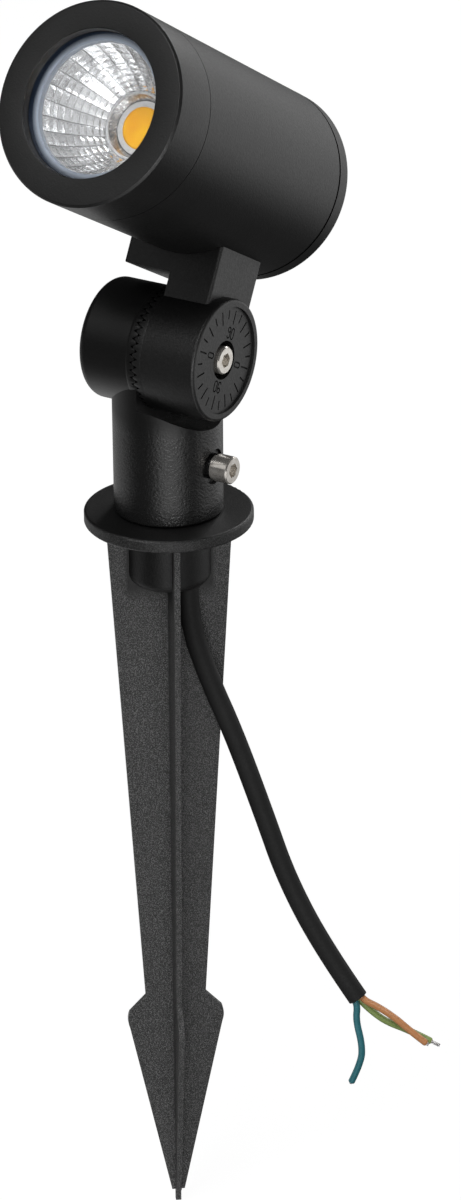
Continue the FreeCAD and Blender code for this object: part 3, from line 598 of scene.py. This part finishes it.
def strand_bundle(name, start, run, length, material):
    """Fine twisted strands that leave the end of a core: six round a straight one."""
    random.seed(name)
    side = run.orthogonal().normalized()
    over = run.cross(side)
    data = bpy.data.curves.new(name, "CURVE")
    data.dimensions = "3D"
    data.bevel_depth = STRAND_RADIUS
    data.bevel_resolution = 2
    data.use_fill_caps = True
    for k in range(STRANDS):
        reach = 0.0 if k == STRANDS - 1 else STRAND_PITCH
        end = length * random.uniform(0.85, 1.0)
        spline = data.splines.new("POLY")
        spline.points.add(STRAND_STEPS - 1)
        for i in range(STRAND_STEPS):
            share = i / (STRAND_STEPS - 1)
            turn = math.radians(60 * k + STRAND_TWIST * share)
            offset = (side * math.cos(turn) + over * math.sin(turn)) * reach
            spline.points[i].co = (*(start + run * end * share + offset), 1.0)
    data.materials.append(material)
    return link(bpy.data.objects.new(name, data))


def cable():
    sheath = route_curve("cable_sheath", CABLE_ROUTE, CABLE_RADIUS)
    sheath.data.materials.append(rubber())
    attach(sheath, "spike")
    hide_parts("power_cable")
    colours = {
        "core_blue": striped("blue_insulation", (0.034, 0.21, 0.25, 1),
                             (0.055, 0.28, 0.31, 1), 0.0),
        "core_green_yellow": striped("green_yellow_insulation", (0.27, 0.37, 0.11, 1),
                                     (0.56, 0.37, 0.11, 1), -0.1),
        "core_brown": striped("brown_insulation", (0.60, 0.26, 0.10, 1),
                              (0.70, 0.36, 0.16, 1), 0.0),
    }
    strands = tinned()
    others = []
    for name, points in CORE_ROUTES.items():
        line = centreline(name, points)
        core = tube_object(name + "_wire", line, CORE_RADIUS, colours[name])
        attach(core, "spike")
        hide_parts(name)
        run = (line[-1] - line[-2]).normalized()
        bundle = strand_bundle(name + "_strands", line[-1] - run * STRAND_OVERLAP * MM, run,
                               STRAND_LENGTH[name], strands)
        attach(bundle, "spike")
        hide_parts("wire_ends")
        others += [core, bundle]
    length = line_length(centreline("cable_length", CABLE_ROUTE))


# ---- Reflector and light source -------------------------------------------------------
RIM_RADIUS, NECK_RADIUS = 19.2 * MM, 10.1 * MM
RIM_PLACE, NECK_PLACE = -68.9 * MM, -48.0 * MM
BOWL_BULGE = 1.1 * MM
BOWL_WALL = 1.0 * MM
COLUMNS, ROWS = 26, 9
ROW_CROWDING = 0.25
FACET_STEPS = 4
FACET_DOME = 0.08 * MM
OFF_FACETS = (0.03, 0.5)
DISC_RADIUS = 6.32
DISC_PLACE = -44.8
DISC_HEIGHT = 0.36
DISC_DOME = 0.1
DOME_STEPS = 8
DISC_STEPS = 72
LIP_STEPS = 96
LIP = [(10.1, 0.1), (10.1, -0.25), (9.95, -0.38), (9.5, -0.38), (9.36, -0.25), (9.36, 0.1)]


def bowl(share):
    """(radius, place) on the reflector's bowl, from its rim to its neck."""
    bulge = BOWL_BULGE * math.sin(math.pi * share)
    radius = RIM_RADIUS + (NECK_RADIUS - RIM_RADIUS) * share + bulge
    return radius, RIM_PLACE + (NECK_PLACE - RIM_PLACE) * share


def row_share(row):
    t = row / ROWS
    return t * (1 + ROW_CROWDING) - t * t * ROW_CROWDING


def reflector(material):
    """The bowl's facets, each domed a little towards the axis, on a closed shell.

    The UVs count columns and rows of facets; the shell's outside has one spot off their edges.
    """
    def build(work):
        layer = work.loops.layers.uv.new("facets")
        ways = circle(COLUMNS * FACET_STEPS)
        rings = []
        for step in range(ROWS * FACET_STEPS + 1):
            row, part = divmod(step, FACET_STEPS)
            low, high = row_share(row), row_share(min(row + 1, ROWS))
            down = part / FACET_STEPS
            radius, place = bowl(low + (high - low) * down)
            ring = []
            for k, (x, z) in enumerate(ways):
                across = (k % FACET_STEPS) / FACET_STEPS
                flat = (math.cos(math.pi / COLUMNS)
                        / math.cos(2 * math.pi / COLUMNS * (across - 0.5)))
                dome = FACET_DOME * 16 * across * (1 - across) * down * (1 - down)
                reach = radius * flat - dome
                ring.append(work.verts.new((reach * x, place, reach * z)))
            rings.append(ring)
        inside = len(rings) - 1
        for share in (1.0, 0.5, 0.0):
            radius, place = bowl(share)
            reach = radius + BOWL_WALL
            rings.append([work.verts.new((reach * x, place, reach * z)) for x, z in ways])
        for step, (near_ring, far_ring) in enumerate(zip(rings, rings[1:] + rings[:1])):
            for k, face in enumerate(band(work, near_ring, far_ring)):
                for loop, (across, down) in zip(face.loops, ((0, 0), (1, 0), (1, 1), (0, 1))):
                    spot = ((k + across) / FACET_STEPS, (step + down) / FACET_STEPS)
                    loop[layer].uv = spot if step < inside else OFF_FACETS

    piece = mesh_object("reflector_bowl", build, material, LAMP, smooth=False)
    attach(piece, "head")
    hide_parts("reflector")


def light_source(lip_finish, yellow):
    """A pale lip round the reflector's neck and the slightly domed yellow disc."""
    def lip(work):
        profile = [(radius * MM, NECK_PLACE + along * MM) for radius, along in LIP]
        turned(work, profile, LIP_STEPS, closed=True)

    def disc(work):
        profile = [(DISC_RADIUS, DISC_PLACE), (DISC_RADIUS, DISC_PLACE - DISC_HEIGHT)]
        for k in range(1, DOME_STEPS):
            rise = DISC_HEIGHT + DISC_DOME * math.sin(math.pi / 2 * k / DOME_STEPS)
            profile.append((DISC_RADIUS * (1 - k / DOME_STEPS), DISC_PLACE - rise))
        rings = turned(work, in_metres(profile), DISC_STEPS)
        work.faces.new(rings[-1])
        work.faces.new(rings[0])

    for name, build, material in (("neck_lip", lip, lip_finish), ("source_disc", disc, yellow)):
        piece = mesh_object(name, build, material, LAMP)
        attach(piece, "head")
        if name == "source_disc":
            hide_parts("led_disc")


# ---- Bezel and seal -------------------------------------------------------------------
BEZEL_FRONT, BEZEL_REAR = -76.8, -59.9
CHAMFER = 0.7
CHAMFER_BLEND = 0.1
EDGE = 0.28
REAR_EDGE = EDGE * 0.4
OPENING_RADIUS = 21.5
GLASS_FRONT, GLASS_REAR = -73.9, -70.9
GLASS_LIP_RADII = (21.4, 21.25)
GLASS_LIP_DEPTH = 0.15
SEAT_RADIUS, BORE_RADIUS = 24.1, 27.1
SEAT_REAR = GLASS_REAR - 0.05
SEAL_RADIUS = 24.0
RING_STEPS = 160


def seal_ring(material):
    """The ring between the glass and the reflector's rim."""
    def build(work):
        front, outer = GLASS_REAR * MM, SEAL_RADIUS * MM
        profile = [(RIM_RADIUS, front), (outer, front), (outer, RIM_PLACE), (RIM_RADIUS, RIM_PLACE)]
        turned(work, profile, RING_STEPS, closed=True)

    piece = mesh_object("seal_ring", build, material, LAMP)
    piece.data.set_sharp_from_angle(angle=SHARP)
    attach(piece, "head")
    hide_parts("lens_gasket")


def arc(centre, start, end, steps=4):
    """An edge's rounding as (radius, along) points, in millimetres; angles in degrees."""
    spots = []
    for k in range(steps + 1):
        turn = math.radians(start + (end - start) * k / steps)
        spots.append((centre[0] + EDGE * math.cos(turn), centre[1] + EDGE * math.sin(turn)))
    return spots


def bezel(material):
    """The front ring with its fine rounded edges, which catch the light."""
    def build(work):
        shoulder = (HEAD_RADIUS - EDGE, BEZEL_FRONT + CHAMFER + CHAMFER_BLEND)
        face_edge = (HEAD_RADIUS - CHAMFER - CHAMFER_BLEND, BEZEL_FRONT + EDGE)
        opening = (OPENING_RADIUS + EDGE, BEZEL_FRONT + EDGE)
        lip_front, lip_rear = GLASS_LIP_RADII
        profile = [(HEAD_RADIUS, BEZEL_REAR + REAR_EDGE), *arc(shoulder, 0, -45),
                   *arc(face_edge, -45, -90), *arc(opening, -90, -175, 5),
                   (lip_front, GLASS_FRONT - GLASS_LIP_DEPTH), (lip_rear, GLASS_FRONT),
                   (SEAT_RADIUS, GLASS_FRONT), (SEAT_RADIUS, SEAT_REAR),
                   (BORE_RADIUS, SEAT_REAR), (BORE_RADIUS, BEZEL_REAR),
                   (HEAD_RADIUS - REAR_EDGE, BEZEL_REAR)]
        turned(work, in_metres(profile), RING_STEPS, closed=True)

    piece = mesh_object("bezel_ring", build, material, LAMP)
    piece.data.set_sharp_from_angle(angle=SHARP)
    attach(piece, "head")
    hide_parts("front_bezel")


# ---- Knuckle seam and cap joint, in millimetres ----------------------------------------
SEAM_RADIUS = 18.5
SEAM_SHADE = 0.005
SEAM_LAYERS = {"head": (0.02, 0.04), "post": (0.055, 0.09)}
SEAM_TEETH = 48
SEAM_DEPTH = 1.3
SEAM_TIP = 0.5
SEAM_GAP = 0.28
SEAM_REACH = 2.8
SEAM_BEVEL, SEAM_BEVEL_DEPTH = 0.03, 0.01
SEAM_TAPER, SEAM_FOOT = 0.8, 0.3
SEAM_SUNK, SEAM_ROOT = 0.02, 0.1
TOOTH_STEPS = 10
SHADE_REACH = 1.9
SHADE_DEPTH = 0.3
SHADE_STEPS = 240
CAP_JOINT_RADIUS = 29.83
CAP_JOINT = (22.75, 23.42)


def seam_band(name, side, material, body):
    """The fine teeth of one knuckle half, on a thin band over its edge.

    The two bands lie one over the other, so that they pass each other when the knuckle turns.
    Each runs down into its solid over SEAM_TAPER at the side away from the teeth.
    """
    inner, outer = (SEAM_RADIUS + layer for layer in SEAM_LAYERS[body])

    def build(work):
        rings = [[] for _ in range(7)]
        for k, (across, up) in enumerate(circle(SEAM_TEETH * TOOTH_STEPS)):
            share = (k % TOOTH_STEPS) / TOOTH_STEPS
            zigzag = SEAM_DEPTH * (4 * abs(share - 0.5) - 1)
            edge = min(zigzag, SEAM_TIP) if side < 0 else max(zigzag, -SEAM_TIP)
            edge += side * SEAM_GAP / 2
            section = ((edge, inner), (edge, outer - SEAM_BEVEL_DEPTH),
                       (edge + side * SEAM_BEVEL, outer),
                       (side * (SEAM_REACH - SEAM_TAPER), outer),
                       (side * SEAM_REACH, SEAM_RADIUS - SEAM_SUNK),
                       (side * SEAM_REACH, SEAM_RADIUS - SEAM_ROOT),
                       (side * (SEAM_REACH - SEAM_FOOT), inner))
            for ring, (along, radius) in zip(rings, section):
                ring.append(work.verts.new((along * MM, across * radius * MM, up * radius * MM)))
        for near_ring, far_ring in zip(rings, rings[1:] + rings[:1]):
            band(work, near_ring, far_ring)

    piece = mesh_object(name, build, material, Matrix.Translation((0, 0, KNUCKLE_HEIGHT)))
    piece.data.set_sharp_from_angle(angle=SHARP)
    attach(piece, body)


def shadow_ring(name, place, body, radius, start, end, shade):
    """A dull dark ring round Y, a painted shadow that fills the depth of a joint."""
    def build(work):
        inner = radius - SHADE_DEPTH
        profile = [(radius, start), (radius, end), (inner, end), (inner, start)]
        turned(work, in_metres(profile), SHADE_STEPS, closed=True)

    piece = mesh_object(name, build, shade, place)
    piece.data.set_sharp_from_angle(angle=SHARP)
    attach(piece, body)


def joints(post_finish, bracket_finish, shade):
    """Two toothed bands, and dull dark rings of painted shadow under their gap and in the rear
    cap's joint.
    """
    seam_band("seam_post", -1, post_finish, "post")
    seam_band("seam_bracket", 1, bracket_finish, "head")

    across = Matrix.Translation((0, 0, KNUCKLE_HEIGHT)) @ Matrix.Rotation(-math.pi / 2, 4, "Z")
    shadow_ring("seam_shade", across, "post", SEAM_RADIUS + SEAM_SHADE, -SHADE_REACH, SHADE_REACH,
                shade)
    shadow_ring("cap_joint", LAMP, "head", CAP_JOINT_RADIUS, *CAP_JOINT, shade)


# ---- Finishes of the solids -----------------------------------------------------------
def finishes():
    head = satin_coat("head_coat", 0.007, 0.010, 0.42, 1500.0, 0.00005, 0.5)
    bracket = satin_coat("bracket_coat", 0.005, 0.008, 0.46, 1300.0, 0.00007, 0.62, DIAL_FLOOR)
    post = leather_coat("post_coat", 0.005, 0.009, 0.28, 1500.0, 0.00011)
    spike = sand_coat("spike_coat", 0.004, 0.036, 0.46, 3000.0, 0.00022)
    paint(head, "head_body", "front_bezel", "rear_cap")
    paint(bracket, "head_bracket")
    paint(post, "base_post")
    paint(spike, "ground_spike")
    paint(steel("stainless_steel", 0.84, 0.18), "clamp_screw", "knuckle_bolt",
          "clamp_spring_washer", "knuckle_washer", "knuckle_nut", "bracket_screws", "holder_screws")
    paint(clear_glass(), "lens_glass")
    pale_seal = seal()
    paint(pale_seal, "lens_gasket")
    paint(rubber(), "cable_grommet", "inner_cable", "post_cable", "head_cable", "knuckle_seal",
          "front_ring", "rear_ring", "power_cable", "core_blue", "core_green_yellow", "core_brown")
    paint(plastic("pale_ceramic", (0.40, 0.39, 0.38, 1), (0.48, 0.47, 0.46, 1), 0.5), "led_board")
    paint(polished("polished_holder", 0.6), "led_holder")
    paint(silicone(), "thermal_pad")
    paint(plastic("green_laminate", (0.01, 0.10, 0.04, 1), (0.02, 0.16, 0.07, 1), 0.4),
          "driver_board")
    paint(plastic("component_black", grey(0.02), grey(0.04), 0.5), "driver_parts")
    paint(plastic("lead_red", (0.45, 0.03, 0.02, 1), (0.55, 0.05, 0.03, 1), 0.45), "led_leads")
    paint(tinned(), "wire_ends")
    mirror_finish = mirror()
    paint(mirror_finish, "reflector")
    yellow = phosphor()
    paint(yellow, "led_disc")
    reflector(mirror_finish)
    light_source(plastic("pale_lip", grey(0.34), grey(0.42), 0.3), yellow)
    seal_ring(pale_seal)
    bezel(head)
    joints(post, bracket, painted_shadow())


# ---- Floor, world and lamps -----------------------------------------------------------
FLOOR_HEIGHT = -0.2486
FLOOR_REACH = 12.0
FLOOR_GLOW = 0.95
FLOOR_SHADE = 0.1
FLOOR_DIM = 0.08
FRONT = (0.59, -0.81, 0.0)
LEFT = (-0.98, 0.17, 0.0)
RIGHT = (0.62, 0.78, 0.0)


def floor():
    """The floor, which shows three faces to three kinds of ray.

    To the camera, and through the glass, it is white and keeps the object's shadow. In
    reflections it is white in front, on the far right and near on the left, and dim elsewhere.
    To the rest it is a grey card.
    """
    def build(work):
        corners = ((-1, -1), (1, -1), (1, 1), (-1, 1))
        work.faces.new([work.verts.new((x * FLOOR_REACH, y * FLOOR_REACH, FLOOR_HEIGHT))
                        for x, y in corners])

    n = Nodes("floor_white")
    n.set(Base_Color=n.mix(n.noise(n.coords(), 2.0), grey(0.24), grey(0.26)), Roughness=0.9,
          Specular_IOR_Level=0.0)
    path = n.new("ShaderNodeLightPath").outputs
    at = n.new("ShaderNodeTexCoord").outputs["Object"]
    flat = n.vector("MULTIPLY", at, (1.0, 1.0, 0.0)).outputs[0]
    way = n.vector("NORMALIZE", flat).outputs[0]
    away = n.vector("LENGTH", flat).outputs["Value"]

    def towards(direction, low, high):
        return n.spread(n.vector("DOT_PRODUCT", way, direction).outputs["Value"], low, high)

    front = towards(FRONT, 0.86, 0.93)
    right = n.math("MULTIPLY", towards(RIGHT, 0.55, 0.85), n.spread(away, 0.36, 0.9))
    left = n.math("MULTIPLY", towards(LEFT, 0.55, 0.9), n.spread(away, 0.35, 0.5, 1.0, 0.45))
    lit = n.math("MAXIMUM", n.math("MAXIMUM", front, right), left)
    mirrored = n.math("MULTIPLY", path["Is Glossy Ray"], n.math("MAXIMUM", lit, FLOOR_DIM))

    glow = n.new("ShaderNodeEmission", {"Color": grey(1.0), "Strength": FLOOR_GLOW})
    shade = n.new("ShaderNodeBsdfDiffuse", {"Color": grey(FLOOR_SHADE)})
    white = n.new("ShaderNodeAddShader")
    n.put(white.inputs[0], glow.outputs[0])
    n.put(white.inputs[1], shade.outputs[0])
    mirror_glow = n.new("ShaderNodeEmission", {"Color": grey(1.0), "Strength": mirrored})

    def mixed(factor, first, second):
        node = n.new("ShaderNodeMixShader")
        for socket, value in zip(node.inputs, (factor, first, second)):
            n.put(socket, value)
        return node.outputs[0]

    reflected = mixed(path["Is Glossy Ray"], n.shader.outputs[0], mirror_glow.outputs[0])
    direct = n.math("MAXIMUM", path["Is Camera Ray"], path["Is Transmission Ray"])
    n.put(n.output.inputs["Surface"], mixed(direct, reflected, white.outputs[0]))
    mesh_object("floor", build, n.material, smooth=False)


WALL_LEVEL = 1.3
DIM_LEVEL = 0.03


def world():
    """A white backdrop behind the object; its reflections show a white wall on the right only."""
    made = bpy.data.worlds.new("world")
    made.use_nodes = True
    bpy.context.scene.world = made
    tree = made.node_tree
    back = tree.nodes["Background"]
    back.inputs["Color"].default_value = grey(1.0)

    def math_node(operation, first, second):
        node = tree.nodes.new("ShaderNodeMath")
        node.operation = operation
        tree.links.new(first, node.inputs[0])
        if isinstance(second, float):
            node.inputs[1].default_value = second
        else:
            tree.links.new(second, node.inputs[1])
        return node.outputs[0]

    def ramp(value, low, high, start, end):
        node = tree.nodes.new("ShaderNodeMapRange")
        node.interpolation_type = "SMOOTHSTEP"
        tree.links.new(value, node.inputs["Value"])
        levels = {"From Min": low, "From Max": high, "To Min": start, "To Max": end}
        for socket, level in levels.items():
            node.inputs[socket].default_value = level
        return node.outputs["Result"]

    at = tree.nodes.new("ShaderNodeTexCoord").outputs["Generated"]
    way = tree.nodes.new("ShaderNodeSeparateXYZ")
    tree.links.new(at, way.inputs[0])
    side = tree.nodes.new("ShaderNodeVectorMath")
    side.operation = "DOT_PRODUCT"
    tree.links.new(at, side.inputs[0])
    side.inputs[1].default_value = RIGHT
    wall = math_node("MULTIPLY", ramp(side.outputs["Value"], 0.45, 0.95, 0.0, WALL_LEVEL),
                     ramp(way.outputs["Z"], 0.1, 0.45, 1.0, 0.0))
    path = tree.nodes.new("ShaderNodeLightPath")
    seen = math_node("MAXIMUM", path.outputs["Is Camera Ray"], path.outputs["Is Transmission Ray"])
    level = math_node("MAXIMUM", math_node("MAXIMUM", seen, wall), DIM_LEVEL)
    tree.links.new(level, back.inputs["Strength"])


# name, place, width, height, watts; all aim at one point
AIM = (0, 0, 0.05)
LAMPS = (
    ("key", (0.0, -1.1, 1.95), 1.1, 1.1, 25.0),
    ("rear", (0.0, 1.85, 1.2), 1.1, 1.1, 17.0),
    ("fill", (1.3, -1.8, 0.2), 1.1, 0.5, 16.0),
    ("left", (-0.9, -1.6, 1.2), 1.1, 1.1, 2.0),
)


def lamps():
    for name, place, width, height, watts in LAMPS:
        data = bpy.data.lights.new(name, "AREA")
        data.shape = "RECTANGLE"
        data.size, data.size_y = width, height
        data.energy = watts
        obj = link(bpy.data.objects.new(name, data))
        obj.location = place
        obj.rotation_euler = (Vector(AIM) - Vector(place)).to_track_quat("-Z", "Y").to_euler()


camera()
cable()
finishes()
floor()
world()
lamps()
bpy.context.scene.view_settings.view_transform = "Standard"
